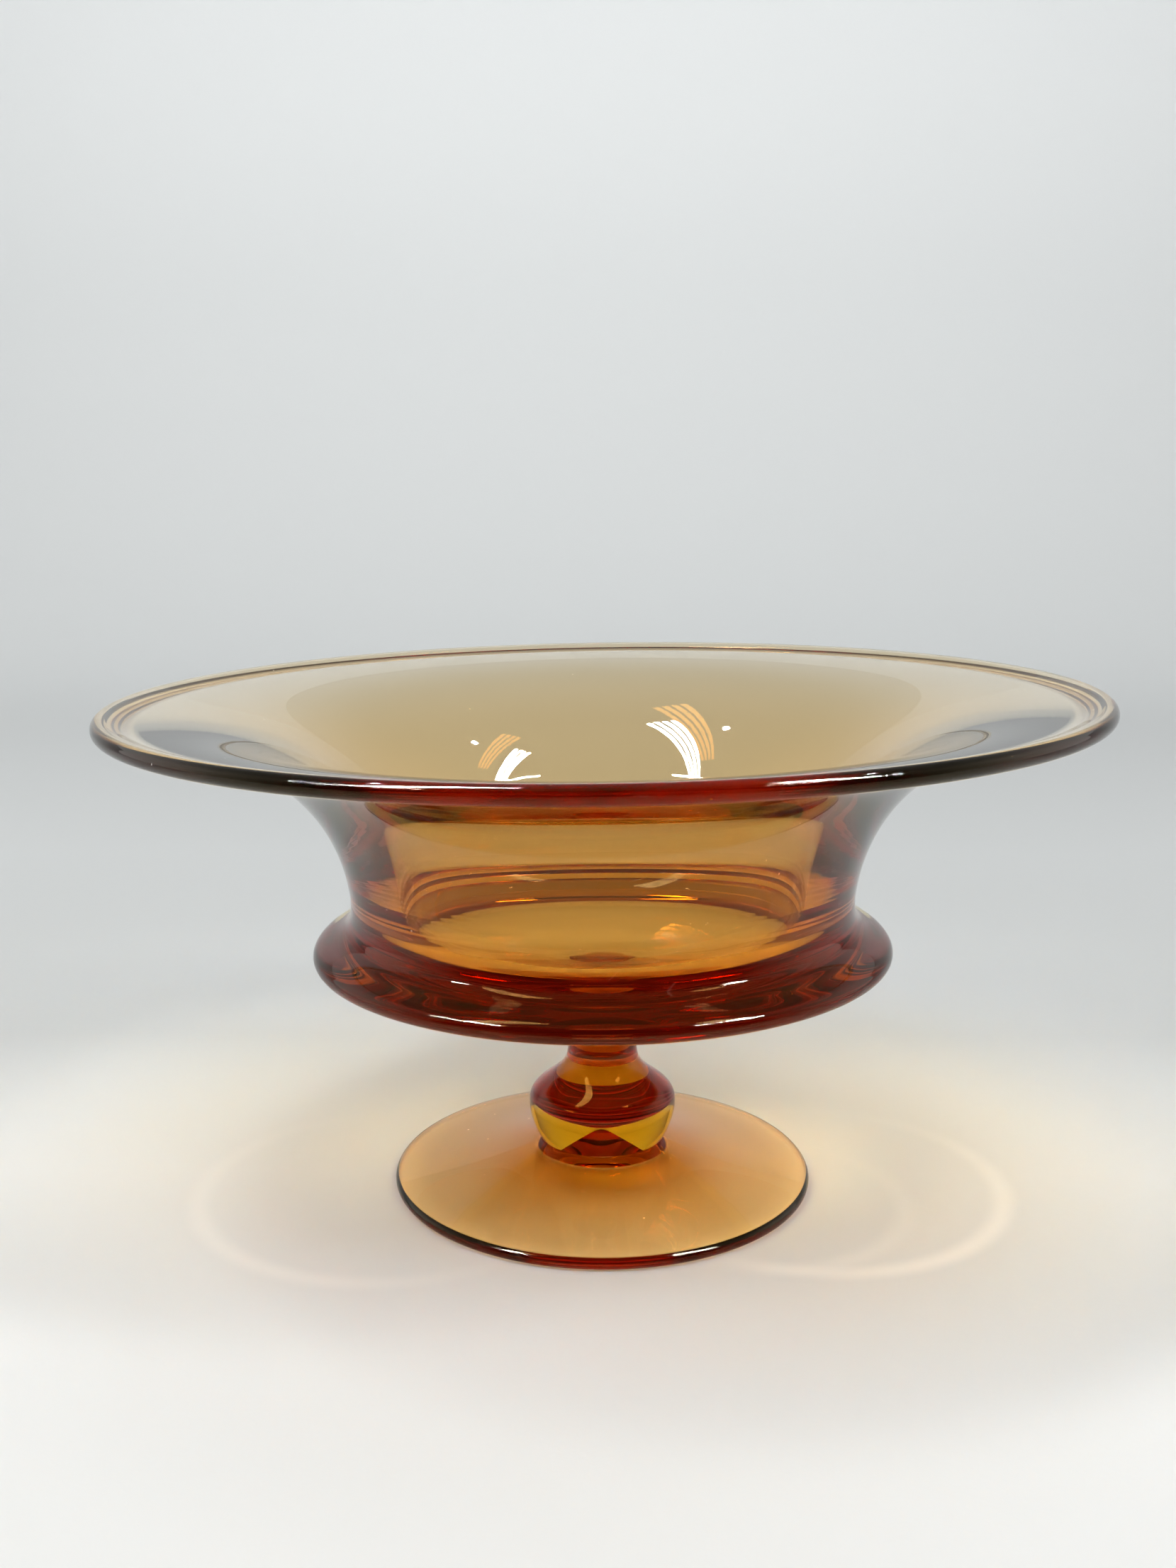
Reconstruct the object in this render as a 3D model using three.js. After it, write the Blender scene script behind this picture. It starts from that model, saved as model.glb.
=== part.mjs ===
// Footed console bowl of hand-blown amber glass: four gathers of glass joined while hot.
// A disc foot carries a stem with one knop, the stem carries a flanged collar, and the flared
// bowl sits in the dished top of the collar.
// Millimetres, +Z up. The origin is under the middle of the foot, on the surface it stands on.
import * as THREE from 'three';

// Foot
const FOOT_RADIUS = 67.2;
const FOOT_HEIGHT = 12; // up to the joint with the stem
const FOOT_EDGE_RADIUS = 2; // round of the outer edge
const FOOT_RING_WIDTH = 7; // flat ring that the bowl stands on
const FOOT_SPREAD = 15; // tangent of the top surface at the edge
const FOOT_LIFT = 0.4;
const FOOT_SHOULDER_WIDTH = 5.1; // root of the stem's fillet, out from the joint
const FOOT_SHOULDER_DROP = 3.4;
const FOOT_SLOPE_RUN = 10; // tangent of the top surface at that root
const FOOT_SLOPE_DROP = 3.2;
const PONTIL_RADIUS = 17; // ground and polished circle underneath
const PONTIL_DEPTH = 2.4;
const PONTIL_BEVEL = 4;
const HOLLOW_DEPTH = 1.8; // shallow hollow between the ring and the pontil circle

// Stem
const STEM_HEIGHT = 41;
const STEM_BASE_RADIUS = 16.9;
const KNOP_RADIUS = 23.7;
const KNOP_HEIGHT = 13; // widest level of the knop
const KNOP_LOWER_SWELL = 5.5; // upright tangents below and above that level
const KNOP_UPPER_SWELL = 8.5;
const KNOP_UNDERCUT_RUN = 1.7; // tangent at the stem's base
const KNOP_UNDERCUT_RISE = 3.5;
const NECK_LOWER_RADIUS = 11.2;
const NECK_START = 31; // level where the knop has run out into the neck
const NECK_SWEEP_RUN = 0.8; // tangent of the neck at that level
const NECK_SWEEP_RISE = 8.5;
const NECK_RADIUS = 9; // at the joint with the collar
const NECK_DRAW = 4;

// Collar
const NECK_FILLET = 5; // round from the neck into the bell
const BELL_START_RUN = 15.9; // tangent of the bell at the neck
const BELL_START_DIP = 0.6;
const BELL_END_RUN = 31; // tangent of the bell at the flange
const BELL_END_DROP = 4.7;
const FLANGE_OVERHANG = 12.05; // out from the bowl's waist
const FLANGE_LEVEL = 26.1; // widest level of the flange, above the joint with the stem
const FLANGE_EDGE_RUN = 2.8; // rounded lower edge
const FLANGE_EDGE_DROP = 2.7;
const DOME_RUN = 15; // half axes of the flange's domed top
const DOME_RISE = 7;
const DOME_TURN = 0.885; // radians of the dome before the fillet takes over
const DOME_FILLET = 5.9; // length of the fillet's tangents
const SEAT_LEVEL = 11.5; // flat under the bowl's base, above the joint with the stem
const SEAT_RADIUS = 14;
const SEAT_CLEARANCE = 0.3;

// Bowl
const BOWL_HEIGHT = 94.45;
const RIM_RADIUS = 152.4;
const BEAD_RADIUS = 2.65; // fire-polished bead of the rim
const BEAD_UNDER = -1.99; // radians where the wall meets the bead below and inside
const BEAD_INSIDE = 2.01;
const WAIST_RADIUS = 79.05; // where the wall rises out of the collar
const WAIST_HEIGHT = 31.25;
const WALL_LEAN = 1.6; // tangent of the wall at the waist
const WALL_RISE = 19.75;
const FLARE_RUN = 14.3; // tangent of the wall under the rim
const FLARE_DROP = 4.2;
const WAIST_WALL = 14; // the wall thins from the waist to the lip
const LOWER_WALL = 12.7;
const UPPER_WALL = 8.8;
const LIP_WALL = 4;
const BASE_RUN = 32; // tangents of the rounded base between its flat and the waist
const BASE_LIFT = 2.5;
const BASE_TUCK = 4.9;
const BASE_DROP = 12;
const FLOOR_THICKNESS = 5.65;
const FLOOR_RADIUS = 25.4; // middle of the basin
const FLOOR_DISH = 2.55;
const BASIN_TURN = 14; // tangents of the round between the wall and the basin
const BASIN_INSET = 2.3;
const BASIN_RISE = 9.9;
const WALL_SPAN = [0.085, 0.965]; // stretch of the wall's curve that the inner face follows

const point = (radius, height) => new THREE.Vector2(radius, height);

// Points along a cubic curve, without its first one, which the stretch before it ends with.
function curve(start, startHandle, endHandle, end, steps) {
  const cubic = new THREE.CubicBezierCurve(start, startHandle, endHandle, end);
  return cubic.getPoints(steps).slice(1);
}

// Points along an arc of an ellipse, counter-clockwise.
function arc(centre, run, rise, from, to, steps) {
  const ellipse = new THREE.EllipseCurve(centre.x, centre.y, run, rise, from, to, to < from);
  return ellipse.getPoints(steps);
}

// Turns a profile of radius and height round the +Z axis.
function revolve(name, profile, segments, colour, roughness) {
  const geometry = new THREE.LatheGeometry(profile, segments).rotateX(Math.PI / 2);
  const material = new THREE.MeshStandardMaterial({ color: colour, roughness, metalness: 0 });
  const mesh = new THREE.Mesh(geometry, material);
  mesh.name = name;
  return mesh;
}

// Flat resting ring, rounded edge, a top that rises to the stem, and a polished pontil circle.
function footProfile() {
  const edgeCentre = point(FOOT_RADIUS - FOOT_EDGE_RADIUS, FOOT_EDGE_RADIUS);
  const edge = arc(edgeCentre, FOOT_EDGE_RADIUS, FOOT_EDGE_RADIUS, -Math.PI / 2, 1.25, 6);
  const edgeTop = edge[edge.length - 1];
  const ringInside = point(edgeCentre.x - FOOT_RING_WIDTH, 0);
  const pontilEdge = point(PONTIL_RADIUS + PONTIL_BEVEL, HOLLOW_DEPTH);
  const shoulder = point(STEM_BASE_RADIUS + FOOT_SHOULDER_WIDTH, FOOT_HEIGHT - FOOT_SHOULDER_DROP);
  const joint = point(STEM_BASE_RADIUS, FOOT_HEIGHT);
  const spread = point(edgeTop.x - FOOT_SPREAD, edgeTop.y + FOOT_LIFT);
  const slope = point(shoulder.x + FOOT_SLOPE_RUN, shoulder.y - FOOT_SLOPE_DROP);
  const fillet = point(
    shoulder.x - FOOT_SLOPE_RUN * FOOT_SHOULDER_DROP / (FOOT_SLOPE_DROP + FOOT_SHOULDER_DROP),
    shoulder.y + FOOT_SLOPE_DROP * FOOT_SHOULDER_DROP / (FOOT_SLOPE_DROP + FOOT_SHOULDER_DROP),
  );
  return [
    point(0, PONTIL_DEPTH),
    point(PONTIL_RADIUS, PONTIL_DEPTH),
    pontilEdge,
    ...curve(
      pontilEdge,
      pontilEdge.clone().lerp(ringInside, 0.4),
      point((pontilEdge.x + ringInside.x) / 2, HOLLOW_DEPTH / 2),
      ringInside,
      4,
    ),
    ...edge,
    ...curve(edgeTop, spread, slope, shoulder, 7),
    ...curve(shoulder, fillet, point(joint.x, joint.y - FOOT_SHOULDER_DROP / 2), joint, 4),
    point(0, FOOT_HEIGHT),
  ];
}

// Rounded knop that draws out into a slender neck.
function stemProfile() {
  const base = point(STEM_BASE_RADIUS, 0);
  const knop = point(KNOP_RADIUS, KNOP_HEIGHT);
  const neck = point(NECK_LOWER_RADIUS, NECK_START);
  const top = point(NECK_RADIUS, STEM_HEIGHT);
  return [
    point(0, 0),
    base,
    ...curve(
      base,
      point(base.x + KNOP_UNDERCUT_RUN, KNOP_UNDERCUT_RISE),
      point(knop.x, knop.y - KNOP_LOWER_SWELL),
      knop,
      7,
    ),
    ...curve(
      knop,
      point(knop.x, knop.y + KNOP_UPPER_SWELL),
      point(neck.x + NECK_SWEEP_RUN, neck.y - NECK_SWEEP_RISE),
      neck,
      9,
    ),
    ...curve(
      neck,
      point(neck.x - NECK_SWEEP_RUN * NECK_DRAW / NECK_SWEEP_RISE, neck.y + NECK_DRAW),
      point(top.x, top.y - NECK_DRAW),
      top,
      4,
    ),
    point(0, STEM_HEIGHT),
  ];
}

// Rounded underside of the bowl, from its flat to its waist. The collar's seat is the same
// outline, opened out by the clearance.
function baseOutline(clearance) {
  const flat = point(SEAT_RADIUS + clearance, 0);
  const waist = point(WAIST_RADIUS + clearance, WAIST_HEIGHT);
  return [
    flat,
    ...curve(
      flat,
      point(flat.x + BASE_RUN, BASE_LIFT),
      point(waist.x - BASE_TUCK, WAIST_HEIGHT - BASE_DROP),
      waist,
      9,
    ),
  ];
}

// Bell that widens from the neck to a domed flange, with a dished seat for the bowl on top.
function collarProfile() {
  const joint = point(NECK_RADIUS, 0);
  const neckRound = point(NECK_RADIUS + NECK_FILLET, 0);
  const fillet = arc(neckRound, NECK_FILLET, NECK_FILLET, Math.PI, Math.PI / 2, 4);
  const bellTop = fillet[fillet.length - 1];
  const flangeRadius = WAIST_RADIUS + FLANGE_OVERHANG;
  const edgeCentre = point(flangeRadius - FLANGE_EDGE_RUN, FLANGE_LEVEL);
  const edge = arc(edgeCentre, FLANGE_EDGE_RUN, FLANGE_EDGE_DROP, -Math.PI / 2, 0, 4);
  const domeCentre = point(flangeRadius - DOME_RUN, FLANGE_LEVEL);
  const dome = arc(domeCentre, DOME_RUN, DOME_RISE, 0, DOME_TURN, 5).slice(1);
  const domeTop = dome[dome.length - 1];
  const domeSlope = point(-DOME_RUN * Math.sin(DOME_TURN), DOME_RISE * Math.cos(DOME_TURN));
  const seat = baseOutline(SEAT_CLEARANCE).map((p) => point(p.x, p.y + SEAT_LEVEL));
  const lip = seat[seat.length - 1];
  return [
    point(0, 0),
    joint,
    ...fillet.slice(1),
    ...curve(
      bellTop,
      point(bellTop.x + BELL_START_RUN, bellTop.y - BELL_START_DIP),
      point(edge[0].x - BELL_END_RUN, edge[0].y - BELL_END_DROP),
      edge[0],
      8,
    ),
    ...edge.slice(1),
    ...dome,
    ...curve(
      domeTop,
      domeSlope.setLength(DOME_FILLET).add(domeTop),
      point(lip.x, lip.y - DOME_FILLET),
      lip,
      5,
    ),
    ...seat.reverse().slice(1),
    point(0, SEAT_LEVEL),
  ];
}

// Flared wall that thins towards a beaded rim, over a rounded basin.
function bowlProfile() {
  const base = baseOutline(0);
  const waist = base[base.length - 1];
  const beadCentre = point(RIM_RADIUS - BEAD_RADIUS, BOWL_HEIGHT - BEAD_RADIUS);
  const bead = arc(beadCentre, BEAD_RADIUS, BEAD_RADIUS, BEAD_UNDER, BEAD_INSIDE, 9);
  const wall = new THREE.CubicBezierCurve(
    waist,
    point(waist.x + WALL_LEAN, waist.y + WALL_RISE),
    point(waist.x + FLARE_RUN, bead[0].y - FLARE_DROP),
    bead[0],
  );
  const thickness = new THREE.CubicBezierCurve(
    point(0, WAIST_WALL),
    point(1 / 3, LOWER_WALL),
    point(2 / 3, UPPER_WALL),
    point(1, LIP_WALL),
  );
  const innerFace = (along) => {
    const outer = wall.getPoint(along);
    const tangent = wall.getTangent(along);
    return point(-tangent.y, tangent.x).multiplyScalar(thickness.getPoint(along).y).add(outer);
  };
  const innerWall = [];
  for (let step = 0; step <= 11; step += 1) {
    innerWall.push(innerFace(THREE.MathUtils.lerp(WALL_SPAN[1], WALL_SPAN[0], step / 11)));
  }
  const wallFoot = innerWall[innerWall.length - 1];
  const turn = wallFoot.clone().sub(innerFace(WALL_SPAN[0] + 0.01)).setLength(BASIN_TURN);
  const floorEdge = point(FLOOR_RADIUS, FLOOR_THICKNESS + FLOOR_DISH);
  return [
    point(0, 0),
    ...base,
    ...wall.getPoints(12).slice(1, -1),
    ...bead,
    ...innerWall,
    ...curve(
      wallFoot,
      turn.add(wallFoot),
      point(wallFoot.x - BASIN_INSET, floorEdge.y + BASIN_RISE),
      floorEdge,
      8,
    ),
    ...curve(
      floorEdge,
      point(FLOOR_RADIUS * 0.6, FLOOR_THICKNESS),
      point(FLOOR_RADIUS * 0.4, FLOOR_THICKNESS),
      point(0, FLOOR_THICKNESS),
      3,
    ),
  ];
}

const foot = revolve('foot', footProfile(), 48, 0xb4671c, 0.08);
const stem = revolve('stem', stemProfile(), 32, 0xa2480d, 0.05);
const collar = revolve('collar', collarProfile(), 48, 0x5c1c07, 0.05);
const bowl = revolve('bowl', bowlProfile(), 48, 0xb9822f, 0.05);

stem.position.z = FOOT_HEIGHT;
collar.position.z = stem.position.z + STEM_HEIGHT;
bowl.position.z = collar.position.z + SEAT_LEVEL;

const consoleBowl = new THREE.Group();
consoleBowl.add(foot, stem, collar, bowl);

export default consoleBowl;
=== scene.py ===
# %% [markdown]
# # A footed console bowl in amber glass
#
# The bowl is hand-blown: four gathers of the same amber glass were joined while hot, a disc foot,
# a stem with one knop, a flanged collar and a flared bowl. Everything that the eye enjoys here is
# light bent, coloured and thrown about inside that glass, so the lesson is about three things:
# profiles that are true on the inside as well as the outside, glass that is coloured by its depth,
# and a small studio whose lights and dark sides the glass can show.
#
# First the measured model is loaded. It fixes the frame: metres, +Z up, the foot on z = 0.

# %% Load the measured model
import math

import bmesh
import bpy
from mathutils import Matrix, Vector


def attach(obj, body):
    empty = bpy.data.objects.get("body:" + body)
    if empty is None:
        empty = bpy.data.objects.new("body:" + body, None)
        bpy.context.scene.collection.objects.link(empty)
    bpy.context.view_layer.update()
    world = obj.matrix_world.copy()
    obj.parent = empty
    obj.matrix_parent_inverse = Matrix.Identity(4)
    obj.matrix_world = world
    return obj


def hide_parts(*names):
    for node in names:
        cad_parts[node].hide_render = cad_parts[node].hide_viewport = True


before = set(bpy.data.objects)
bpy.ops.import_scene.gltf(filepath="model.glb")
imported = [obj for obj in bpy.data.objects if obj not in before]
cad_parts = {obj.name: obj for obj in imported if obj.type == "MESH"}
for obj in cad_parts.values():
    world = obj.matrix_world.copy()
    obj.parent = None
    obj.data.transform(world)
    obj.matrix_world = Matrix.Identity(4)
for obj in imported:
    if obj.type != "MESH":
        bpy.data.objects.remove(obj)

scene = bpy.context.scene
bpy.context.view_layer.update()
print("nodes:", sorted(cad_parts))

# %% [markdown]
# ## Curves for the profiles
#
# A blown and turned piece is round, so each piece is drawn as a profile of radius and height in
# millimetres and then spun. Glass shows every bump in a profile, so the outlines aren't typed in
# as lists of points: they are cubic curves and arcs of ellipses, which stay smooth however finely
# they are cut.

# %% Two ways to draw a stretch of profile
MM = 0.001


def bezier(start, start_handle, end_handle, end, steps):
    """Points along a cubic curve, both ends included."""
    run = []
    for i in range(steps + 1):
        t = i / steps
        weights = ((1 - t) ** 3, 3 * t * (1 - t) ** 2, 3 * t * t * (1 - t), t ** 3)
        corners = (start, start_handle, end_handle, end)
        run.append(tuple(sum(w * c[k] for w, c in zip(weights, corners)) for k in (0, 1)))
    return run


def ellipse_arc(centre, across, up, from_deg, to_deg, steps):
    """Points along an arc of an ellipse with upright axes."""
    run = []
    for i in range(steps + 1):
        a = math.radians(from_deg + (to_deg - from_deg) * i / steps)
        run.append((centre[0] + across * math.cos(a), centre[1] + up * math.sin(a)))
    return run


quarter = ellipse_arc((0, 0), 10, 10, 0, 90, 3)
print("a quarter of a 10 mm circle:", [tuple(round(c, 2) for c in point) for point in quarter])

# %% [markdown]
# ## The hand in hand-blown
#
# A perfect body of revolution looks machined. The real bowl leans: its rim rises about a degree
# towards +X, the flange leans half as much and the foot hardly at all. It is also a little out of
# round. One smooth function moves every point of every piece, so that the joints still meet. It
# could be a Lattice modifier, but a formula is easier to read and to repeat.

# %% Lean and roundness
RIM_LEVEL = 157
LEAN_BY_HEIGHT = ((0, 0.0), (12, 0.003), (79, 0.0087), (RIM_LEVEL, 0.016))
OVAL, OVAL_TURN, THREE_LOBED = 0.0012, 1.1, 0.0005


def lean_at(z):
    """Slope of the piece towards +X at a height, read between the levels measured above."""
    z = min(max(z, 0), RIM_LEVEL)
    for (z0, s0), (z1, s1) in zip(LEAN_BY_HEIGHT, LEAN_BY_HEIGHT[1:]):
        if z <= z1:
            return s0 + (s1 - s0) * (z - z0) / (z1 - z0)


def hand_made(radius, turn, z):
    """Where a point of the ideal profile, in millimetres, ends up on the real piece, in metres."""
    wobble = OVAL * math.cos(2 * turn - OVAL_TURN) + THREE_LOBED * math.sin(3 * turn)
    out_of_round = 1 + z / RIM_LEVEL * wobble
    x = radius * out_of_round * math.cos(turn)
    y = radius * out_of_round * math.sin(turn)
    return (x * MM, y * MM, (z + x * lean_at(z)) * MM)


rim_sides = [hand_made(150, turn, RIM_LEVEL) for turn in (0, math.pi)]
print("rim, right and left:", [round(point[2] / MM, 2) for point in rim_sides])

# %% [markdown]
# ## Spinning a profile, and joints that can't be seen
#
# The four pieces are separate closed bodies, as they were on the bench, but hot glass fuses without
# a trace: no surface shows inside the real bowl where two gathers meet. In a renderer two closed
# glass bodies that touch would show one, because light bends and reflects at each skin. So every
# face of a joint carries an attribute, `seam`, which the glass material reads further down to stop
# bending light there.
#
# A Screw modifier could spin the profile. Writing the rings in bmesh instead lets each stretch of
# the profile say whether it is a joint, and lets the edge between a joint and the free surface be
# marked sharp, so that the smooth shading of the outside doesn't lean into the joint.

# %% Spin a profile into a closed piece
STEPS = 192
JOINT_GAP = 0.02  # mm, so that two skins never share a place
ON_AXIS = 1e-6  # a smaller radius becomes one point


def spin(name, stretches):
    """A closed piece from (points, is_joint) stretches that run from the axis back to the axis."""
    bm = bmesh.new()
    seam = bm.faces.layers.float.new("seam")
    rings, joins = [], []
    for points, is_joint in stretches:
        for i, (radius, z) in enumerate(points):
            if rings and i == 0:
                continue  # the stretch before ended here
            on_axis = radius < ON_AXIS
            turns = [0.0] if on_axis else [2 * math.pi * k / STEPS for k in range(STEPS)]
            rings.append([bm.verts.new(hand_made(radius, a, z)) for a in turns])
            joins.append(float(is_joint))
    for below, above, is_joint in zip(rings, rings[1:], joins[1:]):
        for k in range(STEPS):
            n = (k + 1) % STEPS
            if len(below) == 1:
                corners = (below[0], above[n], above[k])
            elif len(above) == 1:
                corners = (below[k], below[n], above[0])
            else:
                corners = (below[k], below[n], above[n], above[k])
            face = bm.faces.new(corners)
            face.smooth = True
            face[seam] = is_joint
    for edge in bm.edges:
        edge.smooth = len({face[seam] for face in edge.link_faces}) == 1
    mesh = bpy.data.meshes.new(name)
    bm.to_mesh(mesh)
    bm.free()
    piece = bpy.data.objects.new(name, mesh)
    scene.collection.objects.link(piece)
    low = min(v.co.z for v in mesh.vertices) / MM
    high = max(v.co.z for v in mesh.vertices) / MM
    print(f"{name}: {len(mesh.polygons)} faces, {low:.2f} to {high:.2f} mm high")
    return piece


# %% [markdown]
# ## The foot
#
# The foot is a gather pressed out with a paddle: a thin rounded edge, and a top that rises slowly and
# then climbs as a low mound to the stem. Underneath it is hollow, so that it stands on a narrow ring
# and doesn't rock. In the middle of the hollow is the pontil, where the rod that held the bowl was
# broken off and the scar was ground and polished to a small cup.
#
# The hidden underside matters as much as the top, because light comes up through it. A flat
# underside would trap the light in the mound and draw a dark red ring round the stem. Where the
# hollow follows the mound, the table shows through it, golden, as it does in the photograph. The
# stem's end reaches down into the mound, to the level SOCKET.

# %% Foot
FOOT_RADIUS, FOOT_EDGE, FOOT_TOP = 67.2, 2.0, 14.5
TABLE_GAP = 0.03  # mm, so that glass and paper never share a face
STEM_BASE, SOCKET, SOCKET_RADIUS = 20.2, 10.4, 8
PONTIL_TOP, PONTIL_RIM = 9.2, (12.5, 7.6)
HOLLOW, SHOULDER = (23, 6.4), (48, 6.5)


def foot_profile():
    centre = (FOOT_RADIUS - FOOT_EDGE, FOOT_EDGE + TABLE_GAP)
    edge = ellipse_arc(centre, FOOT_EDGE, FOOT_EDGE, -98, 70, 18)
    joint, socket = (STEM_BASE, FOOT_TOP - JOINT_GAP), SOCKET - JOINT_GAP
    return [
        (bezier((0, PONTIL_TOP), (4.5, PONTIL_TOP), (9, 8.6), PONTIL_RIM, 12), False),
        (bezier(PONTIL_RIM, (16, 7.5), (20, 7.0), HOLLOW, 6), False),
        (bezier(HOLLOW, (36, 3.8), (50, 1.1), edge[0], 20), False),
        (edge, False),
        (bezier(edge[-1], (60, 4.5), (54, 5.4), SHOULDER, 20), False),
        (bezier(SHOULDER, (39, 8.15), (29, 11.0), joint, 24), False),
        ([joint, (SOCKET_RADIUS, socket), (0, socket)], True),
    ]


foot = spin("glass_foot", foot_profile())

# %% [markdown]
# ## The stem
#
# The stem was drawn from one gather: tooled in at its base, left full as a rounded knop, then pulled
# into a slender neck that goes up under the collar. It is solid, so it works as a strong lens and
# shows the table and the lights upside down.

# %% Stem
STEM_TOP, NECK = 53.0, 9.0
KNOP_RADIUS, KNOP_LEVEL = 23.7, 26.2
NECK_START = (11.2, 43.0)
INNER_RING = 4  # parts the flat joint, so that its faces aren't all slivers


def stem_profile():
    base, knop = (STEM_BASE, FOOT_TOP), (KNOP_RADIUS, KNOP_LEVEL)
    top = (NECK, STEM_TOP - JOINT_GAP)
    return [
        ([(0, SOCKET), (SOCKET_RADIUS, SOCKET), base], True),
        (bezier(base, (21.5, 16.8), (KNOP_RADIUS, 21.2), knop, 22), False),
        (bezier(knop, (KNOP_RADIUS, 33.5), (12.0, 34.5), NECK_START, 28), False),
        (bezier(NECK_START, (10.8, 47), (NECK, 49), top, 12), False),
        ([top, (INNER_RING, top[1]), (0, top[1])], True),
    ]


stem = spin("glass_stem", stem_profile())

# %% [markdown]
# ## The collar
#
# The collar is a cup of glass that the bowl's base was set into. Its edge was tooled out into a
# broad domed flange, and its underside narrows like a bell to the neck. The flange looks almost
# black-red because the eye looks along it, through several centimetres of glass. Its seat is the
# bowl's own base outline, a hair away from it.

# %% Collar
SEAT_LEVEL, SEAT_RADIUS = 64.5, 14.0
WAIST = (79.05, 95.75)
FLANGE_RADIUS, FLANGE_LEVEL = 91.1, 79.1
EDGE_RUN, EDGE_DROP = 2.8, 2.7
DOME_RUN, DOME_RISE, DOME_END_DEG, DOME_HANDLE = 15.0, 7.0, 50.7, 5.9
NECK_FILLET = 5


def base_outline(gap):
    """Underside of the bowl from the middle of its flat out to the waist, moved away by a gap."""
    flat = (SEAT_RADIUS + gap, SEAT_LEVEL - gap)
    waist = (WAIST[0] + gap, WAIST[1] - gap)
    rise = bezier(flat, (flat[0] + 32, flat[1] + 2.5), (waist[0] - 4.9, waist[1] - 12), waist, 26)
    return [(0, flat[1]), (SEAT_RADIUS / 2, flat[1])] + rise


def collar_profile():
    neck_round = ellipse_arc((NECK + NECK_FILLET, STEM_TOP), NECK_FILLET, NECK_FILLET, 180, 90, 10)
    edge = ellipse_arc((FLANGE_RADIUS - EDGE_RUN, FLANGE_LEVEL), EDGE_RUN, EDGE_DROP, -90, 0, 10)
    middle = (FLANGE_RADIUS - DOME_RUN, FLANGE_LEVEL)
    dome = ellipse_arc(middle, DOME_RUN, DOME_RISE, 0, DOME_END_DEG, 18)
    end, turn = dome[-1], math.radians(DOME_END_DEG)
    slope = (-DOME_RUN * math.sin(turn), DOME_RISE * math.cos(turn))
    share = DOME_HANDLE / math.hypot(*slope)
    onward = (end[0] + slope[0] * share, end[1] + slope[1] * share)
    seat = base_outline(JOINT_GAP)[::-1]
    lip = seat[0]
    return [
        ([(0, STEM_TOP), (INNER_RING, STEM_TOP), neck_round[0]], True),
        (neck_round, False),
        (bezier(neck_round[-1], (29.9, 57.4), (57.3, 71.7), edge[0], 34), False),
        (edge, False),
        (dome, False),
        (bezier(end, onward, (lip[0] - 0.1, lip[1] - 5.3), lip, 14), False),
        (seat, True),
    ]


collar = spin("glass_collar", collar_profile())

# %% [markdown]
# ## The bowl
#
# The wall is thick at the waist and thins to the lip, which is fire-polished into a bead. Inside,
# the wall turns over a soft round into a shallow dished floor. None of that inner face is seen as
# an edge in the photograph, but the bright floor, the dark crescent above it and the ring lines
# behind it are all images that this inner face makes, so its thickness was worked out from them.
#
# A Solidify modifier gives an even wall. Here the outer curve is offset along its own normal by a
# thickness that changes along the wall, which keeps the two faces independent. The upper half of the
# wall was drawn out while hot, so `drawn_thin` takes up to a quarter off it and the flare comes out
# nearly clear.

# %% Bowl
RIM_RADIUS, RIM_TOP, BEAD = 152.4, 158.95, 2.65
WALL_AT_WAIST, WALL_LOWER, WALL_UPPER, WALL_AT_LIP = 14.0, 12.7, 8.8, 4.0
DRAWN_FROM, LIP_DRAW = 0.5, 0.25
INNER_SPAN = (0.085, 0.965)  # the shares of the outer curve that the inner face lies opposite
FINE = 400
FLOOR_LEVEL, FLOOR_RADIUS, FLOOR_RISE = 70.15, 25.4, 2.55
TURN_HANDLE = 14


def drawn_thin(t):
    """The share of its thickness that the wall keeps where the lip was drawn out."""
    share = min(max((t - DRAWN_FROM) / (1 - DRAWN_FROM), 0), 1)
    return 1 - LIP_DRAW * share * share * (3 - 2 * share)


def inner_wall(outer, first, last, steps):
    """Points on the inner face, from the lip down, opposite a span of the outer wall's curve."""
    fine = bezier(*outer, FINE)
    walls = bezier((0, WALL_AT_WAIST), (0, WALL_LOWER), (0, WALL_UPPER), (0, WALL_AT_LIP), FINE)
    run = []
    for i in range(steps + 1):
        t = last + (first - last) * i / steps
        k = min(max(round(t * FINE), 1), FINE - 1)
        dr, dz = fine[k + 1][0] - fine[k - 1][0], fine[k + 1][1] - fine[k - 1][1]
        length = math.hypot(dr, dz)
        wall = walls[k][1] * drawn_thin(t)
        run.append((fine[k][0] - dz / length * wall, fine[k][1] + dr / length * wall))
    return run


def bowl_profile():
    bead = ellipse_arc((RIM_RADIUS - BEAD, RIM_TOP - BEAD), BEAD, BEAD, -114, 115, 22)
    outer = (WAIST, (80.65, 115.5), (93.35, 149.6), bead[0])
    inside = inner_wall(outer, *INNER_SPAN, 44)
    low, above = inside[-1], inside[-2]
    down = math.hypot(low[0] - above[0], low[1] - above[1])
    turn = [low[k] + (low[k] - above[k]) / down * TURN_HANDLE for k in (0, 1)]
    floor_edge = (FLOOR_RADIUS, FLOOR_LEVEL + FLOOR_RISE)
    floor = [(radius, FLOOR_LEVEL) for radius in (15.24, 10.16, 0)]
    return [
        (base_outline(0), True),
        (bezier(*outer, 44), False),
        (bead, False),
        (bezier(bead[-1], (148.0, 158.85), (147.4, 158.4), inside[0], 5), False),
        (inside, False),
        (bezier(low, turn, (low[0] - 2.3, floor_edge[1] + 9.9), floor_edge, 32), False),
        (bezier(floor_edge, *floor, 14), False),
    ]


bowl = spin("glass_bowl", bowl_profile())

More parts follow.
